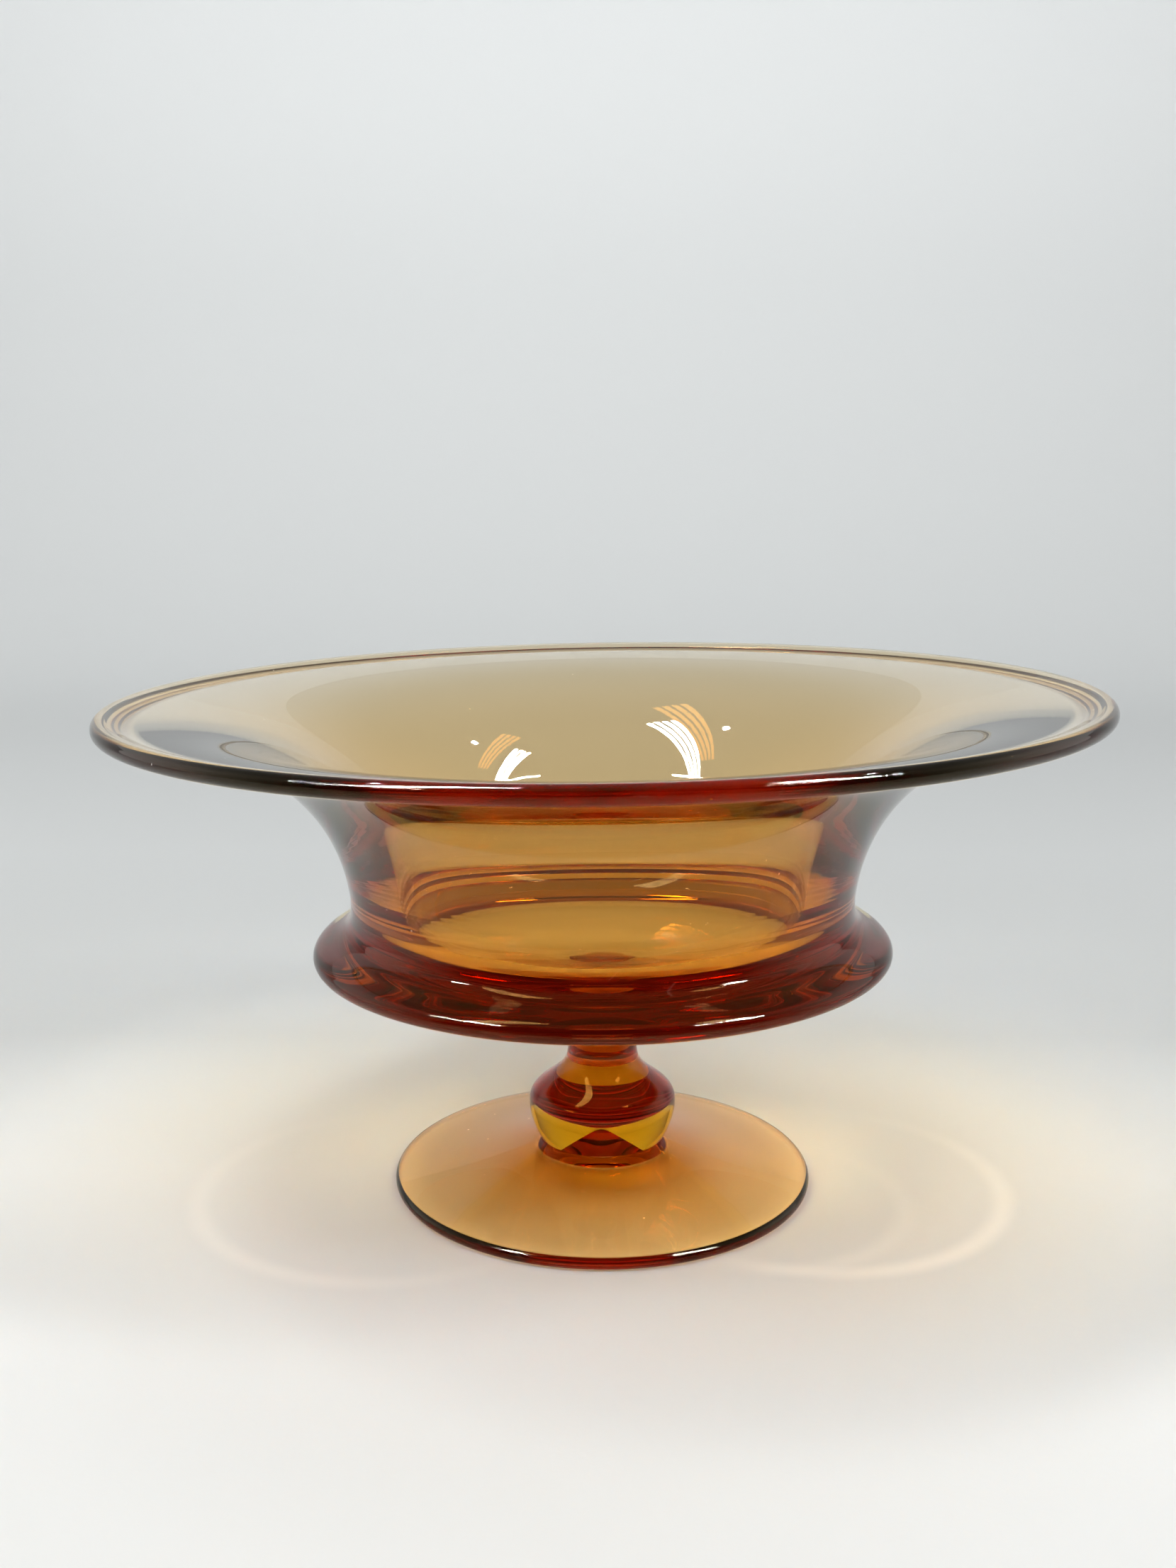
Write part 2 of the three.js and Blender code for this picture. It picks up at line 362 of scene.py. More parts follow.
# %% [markdown]
# ## Shared marks on the glass
#
# Four faint things keep old glass from looking like a computer's glass: dust, hairline scratches,
# wiped smudges and the slow ripple of a surface that was never moulded. All four materials need
# them, so each is a node group with named sockets, built once. A group only puts out a mask or a
# height. The shader itself stays in the material.

# %% Small helpers for node trees
NUMBER = "NodeSocketFloat"


def new_group(name, inputs, output):
    """An empty shader node group with number inputs, one number output and object coordinates."""
    group = bpy.data.node_groups.new(name, "ShaderNodeTree")
    for label, value in inputs:
        socket = group.interface.new_socket(name=label, in_out="INPUT", socket_type=NUMBER)
        socket.default_value = value
    group.interface.new_socket(name=output, in_out="OUTPUT", socket_type=NUMBER)
    given, out = group.nodes.new("NodeGroupInput"), group.nodes.new("NodeGroupOutput")
    return group, given, out, group.nodes.new("ShaderNodeTexCoord")


def feed(tree, value, socket):
    """Link another socket into a socket, or set a plain value on it."""
    if hasattr(value, "is_linked"):
        tree.links.new(value, socket)
    else:
        socket.default_value = value


def maths(tree, operation, *values):
    """A Math node whose inputs are sockets or plain numbers. Gives its output socket."""
    node = tree.nodes.new("ShaderNodeMath")
    node.operation = operation
    for slot, value in enumerate(values):
        feed(tree, value, node.inputs[slot])
    return node.outputs[0]


def ramp(tree, value, low, high):
    """0 below low, 1 above high and smooth between. low may be above high."""
    node = tree.nodes.new("ShaderNodeMapRange")
    node.interpolation_type = "SMOOTHSTEP"
    for label, given in (("Value", value), ("From Min", low), ("From Max", high)):
        feed(tree, given, node.inputs[label])
    return node.outputs["Result"]


def stops_along(tree, value, low, high, stops):
    """A colour ramp over a value from low to high. A stop is a place and a grey or a colour."""
    node = tree.nodes.new("ShaderNodeValToRGB")
    marks = node.color_ramp.elements
    while len(marks) < len(stops):
        marks.new(1.0)
    for mark, (place, tone) in zip(marks, stops):
        mark.position = (place - low) / (high - low)
        mark.color = (*tone, 1) if isinstance(tone, tuple) else (tone, tone, tone, 1)
    share = maths(tree, "MULTIPLY_ADD", value, 1 / (high - low), -low / (high - low))
    tree.links.new(share, node.inputs["Fac"])
    return node.outputs["Color"]


def mixed(tree, factor, first, second, blend="MIX"):
    """A colour Mix node whose inputs are sockets or plain values. Gives its output socket."""
    node = tree.nodes.new("ShaderNodeMix")
    node.data_type, node.blend_type = "RGBA", blend
    for label, given in (("Factor", factor), ("A", first), ("B", second)):
        feed(tree, given, node.inputs[label])
    return node.outputs["Result"]


# %% [markdown]
# Dust is small and sits anywhere. A 3D Voronoi texture scatters one point in each cell of space;
# only a share of the cells keeps its speck, and the specks differ in size.

# %% Dust specks
SMALLEST, SOLID_CORE = 0.3, 0.4


def make_dust():
    inputs = [("Scale", 260.0), ("Share", 0.08), ("Size", 0.1)]
    group, given, out, place = new_group("dust_specks", inputs, "Mask")
    cells = group.nodes.new("ShaderNodeTexVoronoi")
    group.links.new(place.outputs["Object"], cells.inputs["Vector"])
    group.links.new(given.outputs["Scale"], cells.inputs["Scale"])
    chance = group.nodes.new("ShaderNodeSeparateColor")
    group.links.new(cells.outputs["Color"], chance.inputs["Color"])
    kept = maths(group, "LESS_THAN", chance.outputs["Red"], given.outputs["Share"])
    differ = maths(group, "ADD", chance.outputs["Green"], SMALLEST)
    size = maths(group, "MULTIPLY", given.outputs["Size"], differ)
    core = maths(group, "MULTIPLY", size, SOLID_CORE)
    speck = ramp(group, cells.outputs["Distance"], size, core)
    group.links.new(maths(group, "MULTIPLY", kept, speck), out.inputs["Mask"])
    return group


dust_specks = make_dust()
print("dust inputs:", [s.name for s in dust_specks.interface.items_tree])

# %% [markdown]
# Scratches from years of wiping are long, thin and gently curved. The crest of a distorted Wave
# texture is such a line. Noise breaks the lines up, so that only short runs of them are left.

# %% Hairline scratches
CREST = 0.9985
FEWEST_RUNS, RUNS_BY_SHARE, RUN_FADE = 0.9, 0.5, 0.06


def make_scratches():
    inputs = [("Scale", 40.0), ("Share", 0.4)]
    group, given, out, place = new_group("hairline_scratches", inputs, "Mask")
    aim = group.nodes.new("ShaderNodeMapping")
    aim.inputs["Rotation"].default_value = (0.8, 0.7, 2.0)
    group.links.new(place.outputs["Object"], aim.inputs["Vector"])
    wave = group.nodes.new("ShaderNodeTexWave")
    wave.inputs["Distortion"].default_value = 9.0
    wave.inputs["Detail"].default_value = 1.0
    wave.inputs["Detail Scale"].default_value = 0.6
    group.links.new(aim.outputs["Vector"], wave.inputs["Vector"])
    group.links.new(given.outputs["Scale"], wave.inputs["Scale"])
    breaks = group.nodes.new("ShaderNodeTexNoise")
    breaks.inputs["Scale"].default_value = 90.0
    breaks.inputs["Detail"].default_value = 0.0
    group.links.new(aim.outputs["Vector"], breaks.inputs["Vector"])
    crest = ramp(group, wave.outputs["Fac"], CREST, 1.0)
    more = maths(group, "MULTIPLY", given.outputs["Share"], RUNS_BY_SHARE)
    edge = maths(group, "SUBTRACT", FEWEST_RUNS, more)
    run = ramp(group, breaks.outputs["Fac"], edge, maths(group, "ADD", edge, RUN_FADE))
    group.links.new(maths(group, "MULTIPLY", crest, run), out.inputs["Mask"])
    return group


hairline_scratches = make_scratches()
print("scratch nodes:", len(hairline_scratches.nodes))

# %% [markdown]
# A smudge is a patch where a cloth left a film. It is soft-edged and large, so two scales of noise
# are enough. The ripple of blown glass is larger still, a slow swell that bends reflections.

# %% Smudges and ripple
CLEANEST, FILM_BY_SHARE, FILM_FADE = 0.75, 0.4, 0.22


def make_smudges():
    inputs = [("Scale", 22.0), ("Share", 0.4)]
    group, given, out, place = new_group("wiped_smudges", inputs, "Mask")
    noise = group.nodes.new("ShaderNodeTexNoise")
    noise.inputs["Detail"].default_value = 2.0
    group.links.new(place.outputs["Object"], noise.inputs["Vector"])
    group.links.new(given.outputs["Scale"], noise.inputs["Scale"])
    more = maths(group, "MULTIPLY", given.outputs["Share"], FILM_BY_SHARE)
    edge = maths(group, "SUBTRACT", CLEANEST, more)
    film = ramp(group, noise.outputs["Fac"], edge, maths(group, "ADD", edge, FILM_FADE))
    group.links.new(film, out.inputs["Mask"])
    return group


def make_ripple():
    inputs = [("Scale", 26.0), ("Stretch", 0.35)]
    group, given, out, place = new_group("blown_ripple", inputs, "Height")
    shape = group.nodes.new("ShaderNodeCombineXYZ")
    for axis in ("X", "Y"):
        shape.inputs[axis].default_value = 1.0
    group.links.new(given.outputs["Stretch"], shape.inputs["Z"])
    stretch = group.nodes.new("ShaderNodeVectorMath")
    stretch.operation = "MULTIPLY"
    group.links.new(place.outputs["Object"], stretch.inputs[0])
    group.links.new(shape.outputs["Vector"], stretch.inputs[1])
    noise = group.nodes.new("ShaderNodeTexNoise")
    noise.inputs["Detail"].default_value = 0.0
    group.links.new(stretch.outputs["Vector"], noise.inputs["Vector"])
    group.links.new(given.outputs["Scale"], noise.inputs["Scale"])
    group.links.new(noise.outputs["Fac"], out.inputs["Height"])
    return group


wiped_smudges, blown_ripple = make_smudges(), make_ripple()
print("groups:", sorted(g.name for g in bpy.data.node_groups))

# %% [markdown]
# Jacks and blocks leave fine rings wherever they held the turning glass: at the foot of the bowl's
# wall, round the neck and on the collar. They follow the height, run a little askew and fade out.

# %% Tooling rings
ASKEW = 0.012


def make_rings():
    inputs = [("Level", 0.1), ("Spread", 0.008), ("Pitch", 0.0016)]
    group, given, out, place = new_group("tooling_rings", inputs, "Height")
    split = group.nodes.new("ShaderNodeSeparateXYZ")
    group.links.new(place.outputs["Object"], split.inputs["Vector"])
    x, z = split.outputs["X"], split.outputs["Z"]
    turns = maths(group, "DIVIDE", maths(group, "MULTIPLY_ADD", x, ASKEW, z), given.outputs["Pitch"])
    swing = maths(group, "SINE", maths(group, "MULTIPLY", turns, 2 * math.pi))
    wave = maths(group, "MULTIPLY_ADD", swing, 0.5, 0.5)
    away = maths(group, "ABSOLUTE", maths(group, "SUBTRACT", z, given.outputs["Level"]))
    near = ramp(group, away, given.outputs["Spread"], 0.0)
    group.links.new(maths(group, "MULTIPLY", wave, near), out.inputs["Height"])
    return group


tooling_rings = make_rings()
print("ring inputs:", [s.name for s in tooling_rings.interface.items_tree])

# %% [markdown]
# ## Amber glass
#
# Amber glass isn't painted: it takes blue out of the light quickly, green slowly and red hardly at
# all, so a thin lip is straw yellow, a wall is orange and the edge of the flange is nearly black.
# A tinted Base Color would colour each surface once, whatever its depth. Volume Absorption colours
# light by the distance that it travels inside, which is what happens in the real piece. The rates
# further down are per metre and were read from the photograph's thin and thick places.
#
# Clear glass also lays a pale reflection of the room over everything, and over dark amber the eye
# takes that for milk. The photograph has hardly any, so Specular Tint lowers and warms what is
# reflected straight on. It fades out by itself towards the edges, where glass is a mirror.
#
# The index of refraction is 1.52, but on the joints it drops to 1, where light passes as if nothing
# were there. The joints also get no film, scratches or dust; the ripple still reaches them.

# %% Amber glass
DENSITY = 250.0  # above every rate in the table, so that no colour falls below 0
GLASS_INDEX = 1.52
STRAIGHT_ON = (0.65, 0.47, 0.21, 1)
SCRATCH_ROUGHNESS, SPECK_ROUGHNESS = 0.15, 0.6
# Glow of scratches and dust through Emission Color, a painted highlight.
SCRATCH_GLOW = 0.04
NO_GLOW, DUST_GLOW_COLOUR = (0, 0, 0, 1), (0.34, 0.32, 0.28, 1)
MICROMETRE = 1e-6


def placed(tree, group, **values):
    """A node group in a material, with its own values. Gives its one output socket."""
    node = tree.nodes.new("ShaderNodeGroup")
    node.node_tree = group
    for label, value in values.items():
        node.inputs[label].default_value = value
    return node.outputs[0]


def amber_glass(name, taken, dust, scratches, smudges, ripple_um, rings=None):
    """Glass with its own rates and its own measure of each mark, as in the table further down."""
    material = bpy.data.materials.new(name)
    material.use_nodes = True
    tree = material.node_tree
    glass, end = tree.nodes["Principled BSDF"], tree.nodes["Material Output"]
    glass.inputs["Base Color"].default_value = (1, 1, 1, 1)
    glass.inputs["Transmission Weight"].default_value = 1.0
    glass.inputs["IOR"].default_value = GLASS_INDEX
    glass.inputs["Specular Tint"].default_value = STRAIGHT_ON
    joint = tree.nodes.new("ShaderNodeAttribute")
    joint.attribute_name = "seam"
    free = maths(tree, "SUBTRACT", 1.0, joint.outputs["Fac"])
    tree.links.new(maths(tree, "MULTIPLY_ADD", free, GLASS_INDEX - 1, 1.0), glass.inputs["IOR"])

    specks = placed(tree, dust_specks, Scale=dust[0], Share=dust[1], Size=dust[2])
    lines = placed(tree, hairline_scratches, Scale=scratches[0], Share=scratches[1])
    film = placed(tree, wiped_smudges, Scale=smudges[0], Share=smudges[1])
    rough = maths(tree, "MULTIPLY", film, smudges[2])
    rough = maths(tree, "MULTIPLY_ADD", lines, SCRATCH_ROUGHNESS, rough)
    rough = maths(tree, "MULTIPLY_ADD", specks, SPECK_ROUGHNESS, rough)
    tree.links.new(maths(tree, "MULTIPLY", rough, free), glass.inputs["Roughness"])
    # Dust specks and hairline scratches are real marks and roughen the glass; their faint glow
    # through Emission Color is a painted highlight, standing in for the light that they catch.
    pale = maths(tree, "MULTIPLY_ADD", lines, SCRATCH_GLOW, specks)
    glint = mixed(tree, maths(tree, "MULTIPLY", pale, free), NO_GLOW, DUST_GLOW_COLOUR)
    tree.links.new(glint, glass.inputs["Emission Color"])
    glass.inputs["Emission Strength"].default_value = 1.0
    material.cycles.emission_sampling = "NONE"

    height = maths(tree, "MULTIPLY", placed(tree, blown_ripple), ripple_um * MICROMETRE)
    if rings:
        ridge = placed(tree, tooling_rings, Level=rings[0], Spread=rings[1], Pitch=rings[2])
        height = maths(tree, "MULTIPLY_ADD", ridge, rings[3] * MICROMETRE, height)
    bump = tree.nodes.new("ShaderNodeBump")
    bump.inputs["Distance"].default_value = 1.0
    tree.links.new(height, bump.inputs["Height"])
    tree.links.new(bump.outputs["Normal"], glass.inputs["Normal"])

    depth = tree.nodes.new("ShaderNodeVolumeAbsorption")
    depth.inputs["Color"].default_value = (*(1 - rate / DENSITY for rate in taken), 1)
    depth.inputs["Density"].default_value = DENSITY
    tree.links.new(depth.outputs["Volume"], end.inputs["Volume"])
    return material


# %% [markdown]
# Each piece gets the same kind of glass with its own depth of colour, because no two gathers come out
# of the pot alike and the foot's is the deepest. Each also has its own share of marks: the bowl is
# handled and wiped most, the collar has scratches on its dome, the foot gathers dust.
#
# The table gives what the glass takes of red, green and blue per metre, then scale, share and size of
# the dust, scale and share of the scratches, scale, share and roughness of the smudges, the ripple in
# micrometres, and for the tooling rings level, spread and pitch in metres and height in micrometres.

# %% Glass on the pieces
GLASS = {
    "bowl": dict(taken=(10, 36, 92), dust=(260, 0.05, 0.09), scratches=(42, 0.45),
                 smudges=(24, 0.4, 0.008), ripple_um=60, rings=(0.1, 0.009, 0.0017, 6)),
    "collar": dict(taken=(12, 36, 125), dust=(300, 0.06, 0.09), scratches=(46, 0.5),
                   smudges=(30, 0.4, 0.006), ripple_um=50, rings=(0.09, 0.008, 0.0015, 4)),
    "stem": dict(taken=(7, 27, 125), dust=(320, 0.03, 0.08), scratches=(60, 0.2),
                 smudges=(34, 0.3, 0.008), ripple_um=90, rings=(0.046, 0.012, 0.0024, 10)),
    "foot": dict(taken=(15, 76, 215), dust=(240, 0.08, 0.1), scratches=(38, 0.55),
                 smudges=(20, 0.5, 0.03), ripple_um=60),
}
glass_of = {node: amber_glass(node + "_amber", **marks) for node, marks in GLASS.items()}
for node, piece in (("bowl", bowl), ("collar", collar), ("stem", stem), ("foot", foot)):
    piece.data.materials.append(glass_of[node])
    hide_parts(node)
    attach(piece, "root")
    print(piece.name, "wears", glass_of[node].name, "for", node)

# %% [markdown]
# ## Paper sweep
#
# The bowl stands on a pale sheet that curves up behind it, so there is no horizon. A flat floor and
# a wall would do, but glass would show the corner between them. The paper is matt, with a faint
# fibre. Its colour carries painted shade by depth: palest in front of the bowl, a little greyer
# behind it and greyer again towards the camera, where only the glass sees it, as a reflection. The
# greys stand in for light that falls off behind the bowl and in the dim room towards the camera.
#
# Light that has passed through the bowl draws thin rings beside the foot, and the bowl shades the
# paper under it. Path tracing finds such rings very slowly, so here both are laid into the paper's
# colour: the shade by the distance from the middle, and each ring as a soft circle with a middle, a
# radius and a strength.

# %% Paper sweep
TURN_START, TURN_RADIUS, TURN_DEG = 1.3, 0.7, 80
LAST_RUN = 0.15
# Painted shade by depth: greys standing in for light that falls off behind the bowl and towards the
# camera.
PAINTED_FALLOFF = [(-0.9, (0.4, 0.39, 0.38)), (-0.24, (0.89, 0.9, 0.895)), (0.0, (0.82, 0.83, 0.83)),
               (0.13, (0.62, 0.635, 0.635)), (0.45, (0.71, 0.73, 0.735))]
SHADE_REACH = 0.25
UNDER_THE_BOWL = [(0.0, 0.64), (0.056, 0.64), (0.07, 0.88), (0.21, 1.0)]
RINGS_OF_LIGHT = [(0.068, -0.007, 0.06, 0.6), (0.05, -0.02, 0.045, 0.25),
                  (-0.066, -0.012, 0.062, 0.3)]
RING_WIDTH, RING_FILL = 0.006, 0.12
RING_COLOUR = (1.0, 0.975, 0.94, 1)


def sweep_outline():
    """Depth and height of the sheet in metres, from in front of the camera to above the view."""
    turn = []
    for angle in range(0, TURN_DEG, 4):
        a = math.radians(angle)
        turn.append((TURN_START + TURN_RADIUS * math.sin(a), TURN_RADIUS - TURN_RADIUS * math.cos(a)))
    last, before = turn[-1], turn[-2]
    rise = (last[1] - before[1]) / (last[0] - before[0])
    top = (last[0] + LAST_RUN, last[1] + LAST_RUN * rise)
    return [(-2.2, 0.0), (0.0, 0.0), (1.0, 0.0)] + turn + [top]


def make_sweep(half_width=3.0):
    bm = bmesh.new()
    sides = (-half_width, half_width)
    rows = [[bm.verts.new((x, y, z)) for x in sides] for y, z in sweep_outline()]
    for near, far in zip(rows, rows[1:]):
        bm.faces.new((near[0], near[1], far[1], far[0])).smooth = True
    mesh = bpy.data.meshes.new("paper_sweep")
    bm.to_mesh(mesh)
    bm.free()
    sheet = bpy.data.objects.new("paper_sweep", mesh)
    scene.collection.objects.link(sheet)
    return sheet


def flat_distance(tree, across, along):
    """How far away a place is, from how far it is across and along."""
    squares = [maths(tree, "MULTIPLY", side, side) for side in (across, along)]
    return maths(tree, "SQRT", maths(tree, "ADD", *squares))


def ring_of_light(tree, place, x, y, radius, strength):
    """A soft ring on the paper, brightest on the side away from the bowl. Gives its mask."""
    across = maths(tree, "SUBTRACT", place.outputs["X"], x)
    along = maths(tree, "SUBTRACT", place.outputs["Y"], y)
    reach = flat_distance(tree, across, along)
    off_line = maths(tree, "ABSOLUTE", maths(tree, "SUBTRACT", reach, radius))
    line = ramp(tree, off_line, RING_WIDTH, 0.0)
    inside = maths(tree, "MULTIPLY", ramp(tree, reach, radius, radius * 0.7), RING_FILL)
    side = maths(tree, "MULTIPLY", across, math.copysign(1, x))
    outward = ramp(tree, side, -radius, radius * 0.6)
    low = ramp(tree, along, radius * 1.2, -radius)
    where = maths(tree, "MULTIPLY", outward, low)
    share = maths(tree, "MULTIPLY", maths(tree, "ADD", line, inside), where)
    return maths(tree, "MULTIPLY", share, strength)


def paper():
    """Matt paper with painted fall-off, shade and rings of light laid into its colour."""
    material = bpy.data.materials.new("pale_paper")
    material.use_nodes = True
    tree = material.node_tree
    shader = tree.nodes["Principled BSDF"]
    coordinates = tree.nodes.new("ShaderNodeTexCoord")
    place = tree.nodes.new("ShaderNodeSeparateXYZ")
    tree.links.new(coordinates.outputs["Object"], place.inputs["Vector"])
    # painted shade: the paper's colour greys by depth, away from the front of the bowl
    painted_falloff = stops_along(tree, place.outputs["Y"], -1.0, 1.0, PAINTED_FALLOFF)
    reach = flat_distance(tree, place.outputs["X"], place.outputs["Y"])
    shade = stops_along(tree, reach, 0.0, SHADE_REACH, UNDER_THE_BOWL)
    glow = 0.0
    for ring in RINGS_OF_LIGHT:
        glow = maths(tree, "ADD", ring_of_light(tree, place, *ring), glow)
    lit = mixed(tree, glow, mixed(tree, 1.0, painted_falloff, shade, "MULTIPLY"), RING_COLOUR)
    tree.links.new(lit, shader.inputs["Base Color"])
    shader.inputs["Roughness"].default_value = 0.9
    shader.inputs["Specular IOR Level"].default_value = 0.0
    fibre = tree.nodes.new("ShaderNodeTexNoise")
    fibre.inputs["Scale"].default_value = 420.0
    fibre.inputs["Detail"].default_value = 6.0
    tree.links.new(coordinates.outputs["Object"], fibre.inputs["Vector"])
    bump = tree.nodes.new("ShaderNodeBump")
    bump.inputs["Strength"].default_value = 0.12
    bump.inputs["Distance"].default_value = 0.0004
    tree.links.new(fibre.outputs["Fac"], bump.inputs["Height"])
    tree.links.new(bump.outputs["Normal"], shader.inputs["Normal"])
    return material


sweep = make_sweep()
sweep.data.materials.append(paper())
print("sweep:", len(sweep.data.polygons), "faces")

# %% [markdown]
# ## The room round it
#
# Glass is drawn by what surrounds it. The dark rim and flange need a dim room in front, behind the
# camera. The flare needs bright sides, which it bends into its pale edges. The crescent in the bowl
# is the dimmer room above the paper, and the ceiling is a little brighter again. A plain grey world
# would make the bowl flat, so the world goes by direction: first round the room, from the front at
# -1 to the back at 1, then upwards in two soft steps.

# %% Dim room
ROUND_THE_ROOM = [(-1.0, 0.06), (-0.5, 0.07), (0.15, 1.0), (0.4, 0.95), (0.7, 0.68), (1.0, 0.66)]
NOT_IN_FRONT, UPPER_STEP, OVERHEAD_STEP = (-0.4, 0.0), (0.36, 0.75), (0.72, 0.95)
ROOM_COLOUR = (0.97, 0.99, 1.0, 1)
JUST_OVER_ONE = 1.0001  # so that nothing is divided by zero straight up


def make_room(upper, overhead):
    """A world by direction: round the room, fading to the walls higher up, then overhead."""
    world = bpy.data.worlds.new("dim_room")
    world.use_nodes = True
    tree = world.node_tree
    light = tree.nodes["Background"]
    aim = tree.nodes.new("ShaderNodeTexCoord")
    split = tree.nodes.new("ShaderNodeSeparateXYZ")
    tree.links.new(aim.outputs["Generated"], split.inputs["Vector"])
    up = split.outputs["Z"]
    level_share = maths(tree, "SUBTRACT", JUST_OVER_ONE, maths(tree, "MULTIPLY", up, up))
    bearing = maths(tree, "DIVIDE", split.outputs["Y"], maths(tree, "SQRT", level_share))
    strength = stops_along(tree, bearing, -1.0, 1.0, ROUND_THE_ROOM)
    behind = ramp(tree, bearing, *NOT_IN_FRONT)
    higher = maths(tree, "MULTIPLY", ramp(tree, up, *UPPER_STEP), behind)
    for share, value in ((higher, upper), (ramp(tree, up, *OVERHEAD_STEP), overhead)):
        rest = maths(tree, "MULTIPLY", strength, maths(tree, "SUBTRACT", 1.0, share))
        strength = maths(tree, "MULTIPLY_ADD", share, value, rest)
    tree.links.new(strength, light.inputs["Strength"])
    light.inputs["Color"].default_value = ROOM_COLOUR
    scene.world = world


make_room(upper=0.32, overhead=0.44)
print("world:", scene.world.name)

# %% [markdown]
# ## Two banks of tubes
#
# The long paired glints on the flange and inside the bowl are a ceiling fitting on each side,
# seen once in the front of the glass, white, and once in the back of it, amber. Each has several
# parallel tubes, which is why a glint is made of fine lines. Their directions were worked out from
# where the glints fall. Area lights are used because they light the paper softly and show as clean
# shapes in the glass.
#
# A real tube is far brighter than the paper that it lights, and a render that shows it so gets
# specks everywhere. So each tube is two lamps: one lights the scene and isn't reflected, and a
# brighter twin just below it is only reflected. The twin is bluish, because the glass warms it.

# %% Tubes
TUBE_COLOUR, GLINT_COLOUR = (1.0, 0.995, 0.975), (0.45, 0.62, 1.0)
GLINT_POWER, GLINT_DROP = 22, 0.02


def area_lamp(name, size, watts, colour, shows_in):
    """An area light, round if its size is one number. shows_in names the rays that meet it."""
    data = bpy.data.lights.new(name, "AREA")
    if isinstance(size, tuple):
        data.shape = "RECTANGLE"
        data.size, data.size_y = size
    else:
        data.shape = "DISK"
        data.size = size
    data.energy, data.color = watts, colour
    lamp = bpy.data.objects.new(name, data)
    lamp.visible_diffuse = "diffuse" in shows_in
    lamp.visible_glossy = "glossy" in shows_in
    lamp.visible_transmission = "transmission" in shows_in
    scene.collection.objects.link(lamp)
    return lamp


def tube_bank(name, start, finish, watts, tubes=4, spacing=0.09, width=0.06):
    """Thin lamps side by side between two points, facing down, each with a twin for the glints."""
    centre = [(a + b) / 2 for a, b in zip(start, finish)]
    along = math.atan2(finish[1] - start[1], finish[0] - start[0])
    size, each = (math.dist(start, finish), width), watts / tubes
    for k in range(tubes):
        shift = (k - (tubes - 1) / 2) * spacing
        x, y = centre[0] - math.sin(along) * shift, centre[1] + math.cos(along) * shift
        light = area_lamp(f"{name}_light_{k}", size, each, TUBE_COLOUR, ("diffuse", "transmission"))
        glint = area_lamp(f"{name}_glint_{k}", size, each * GLINT_POWER, GLINT_COLOUR, ("glossy",))
        for lamp, drop in ((light, 0), (glint, GLINT_DROP)):
            lamp.location = (x, y, centre[2] - drop)
            lamp.rotation_euler = (0, 0, along)
    print(f"{name}: {tubes} tubes of {size[0]:.2f} m, {watts} W")


tube_bank("left_tubes", (-0.53, -0.04, 2.4), (-2.33, -1.46, 2.4), 42)
tube_bank("right_tubes", (1.12, -0.7, 2.4), (2.9, -1.38, 2.4), 42)

# %% [markdown]
# A few small lamps further round the room give the round sparkles on the flange, the knop and the
# inside of the bowl. They only show in reflections too, because they are too small to light anything.

# %% Sparkles
SPARKLES = ((-74, 62), (83, 58), (-140, 44), (142, 40), (-100, 30), (104, 33))
SPARKLE_WATTS, BOWL_MIDDLE = 60.0, 0.1


def sparkle(number, bearing, height, reach=2.6, size=0.13):
    """A small lamp in a direction given in degrees from straight behind the bowl and from level."""
    lamp = area_lamp(f"sparkle_{number}", size, SPARKLE_WATTS, GLINT_COLOUR, ("glossy",))
    turn, lift = math.radians(bearing), math.radians(height)
    x, y = reach * math.cos(lift) * math.sin(turn), reach * math.cos(lift) * math.cos(turn)
    lamp.location = (x, y, BOWL_MIDDLE + reach * math.sin(lift))
    lamp.rotation_euler = (math.pi / 2 - lift, 0, -turn)


for number, (bearing, height) in enumerate(SPARKLES):
    sparkle(number, bearing, height)
print("sparkles:", len(SPARKLES))

# %% [markdown]
# The long white lines along the edge of the flange and the rim are the far ends of the two fittings.
# The flare hides the rest of them from the flange, so each side gets one thin strip just where the
# flange can see past the rim. An area light shines along its own -Z, so its axes are set directly:
# Z away from the bowl, X along the strip.

# %% Strips for the edge of the flange
FLANGE_FRONT = Vector((0.0, -0.085, 0.083))


def edge_strip(name, start, finish, width=0.06, watts=130.0):
    """A thin lamp between two points that faces the flange and only shows in reflections."""
    start, finish = Vector(start), Vector(finish)
    middle, run = (start + finish) / 2, finish - start
    away = (middle - FLANGE_FRONT).normalized()
    along = run - run.dot(away) * away
    along.normalize()
    lamp = area_lamp(name, (run.length, width), watts, GLINT_COLOUR, ("glossy",))
    axes = Matrix((along, away.cross(along), away)).transposed()
    lamp.matrix_world = Matrix.LocRotScale(middle, axes, None)
    print(f"{name}: {run.length:.2f} m long")


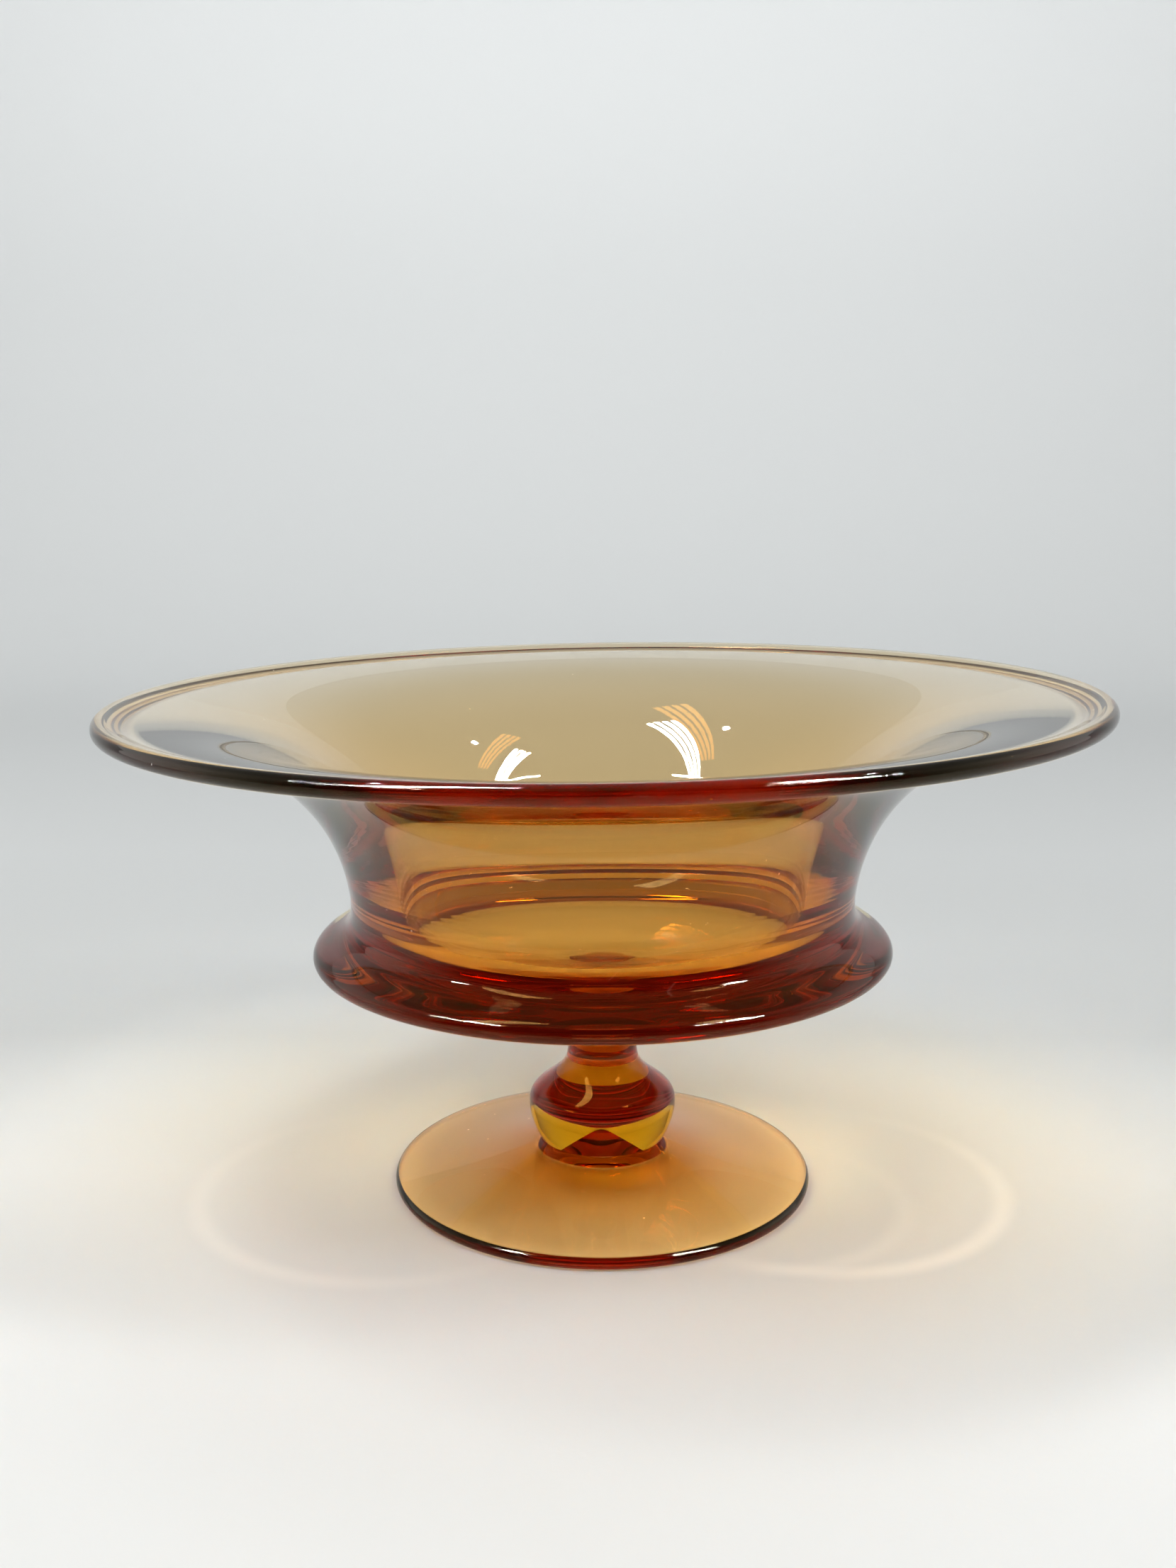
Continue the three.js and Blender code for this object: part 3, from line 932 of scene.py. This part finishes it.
edge_strip("left_edge_strip", (-1.3, -1.33, 1.85), (-2.05, -0.55, 1.55))
edge_strip("right_edge_strip", (1.16, -1.43, 1.9), (1.96, -0.7, 1.6))

# %% [markdown]
# The paper behind the bowl would fall off into grey, because the tubes are in front of it. A wash of
# light of its own keeps it even. It shines on the paper only: the glass is told not to see it, so
# that the dim room stays dim in the crescent.

# %% Wash on the paper
WASH_WATTS, WASH_SPREAD_DEG, WASH_TILT_DEG = 12.5, 110, 70
wash = area_lamp("paper_wash", (3.0, 0.3), WASH_WATTS, (1, 1, 1), ("diffuse",))
wash.data.spread = math.radians(WASH_SPREAD_DEG)
wash.location = (0, 0.5, 1.6)
wash.rotation_euler = (math.radians(WASH_TILT_DEG), 0, 0)
print("wash:", WASH_WATTS, "W")

# %% [markdown]
# ## Camera
#
# The camera stands where the photographer stood, found by fitting the ellipses of the rim, the
# flange and the foot: half a metre away and looking down eleven degrees. Depth of field stays off.

# %% Camera
LOOKS_DOWN_DEG, LOOKS_LEFT_DEG = 10.923, 0.54
view = bpy.data.cameras.new("photograph")
view.lens = 36.74
view.sensor_width = 36.0
view.clip_start = 0.01
camera = bpy.data.objects.new("photograph", view)
camera.location = (0.0, -0.492, 0.2249)
camera.rotation_euler = (math.radians(90 - LOOKS_DOWN_DEG), 0.0, math.radians(LOOKS_LEFT_DEG))
scene.collection.objects.link(camera)
scene.camera = camera
print("camera at", [round(c, 3) for c in camera.location], "lens", view.lens)

# %% [markdown]
# ## Light paths
#
# A ray that crosses the bowl passes many skins, so the bounce limits are raised: with the usual
# dozen the deepest places would turn black. Caustics stay on, for the warm glow round the foot. With
# so few lamps the light tree isn't needed. The Standard view keeps the amber as saturated as it is.

# %% Light paths
paths = scene.cycles
paths.max_bounces = paths.transmission_bounces = 32
paths.glossy_bounces = 12
paths.caustics_refractive = paths.caustics_reflective = True
paths.blur_glossy = 0.3
paths.use_light_tree = False
scene.view_settings.view_transform = "Standard"
print("bounces:", paths.max_bounces)
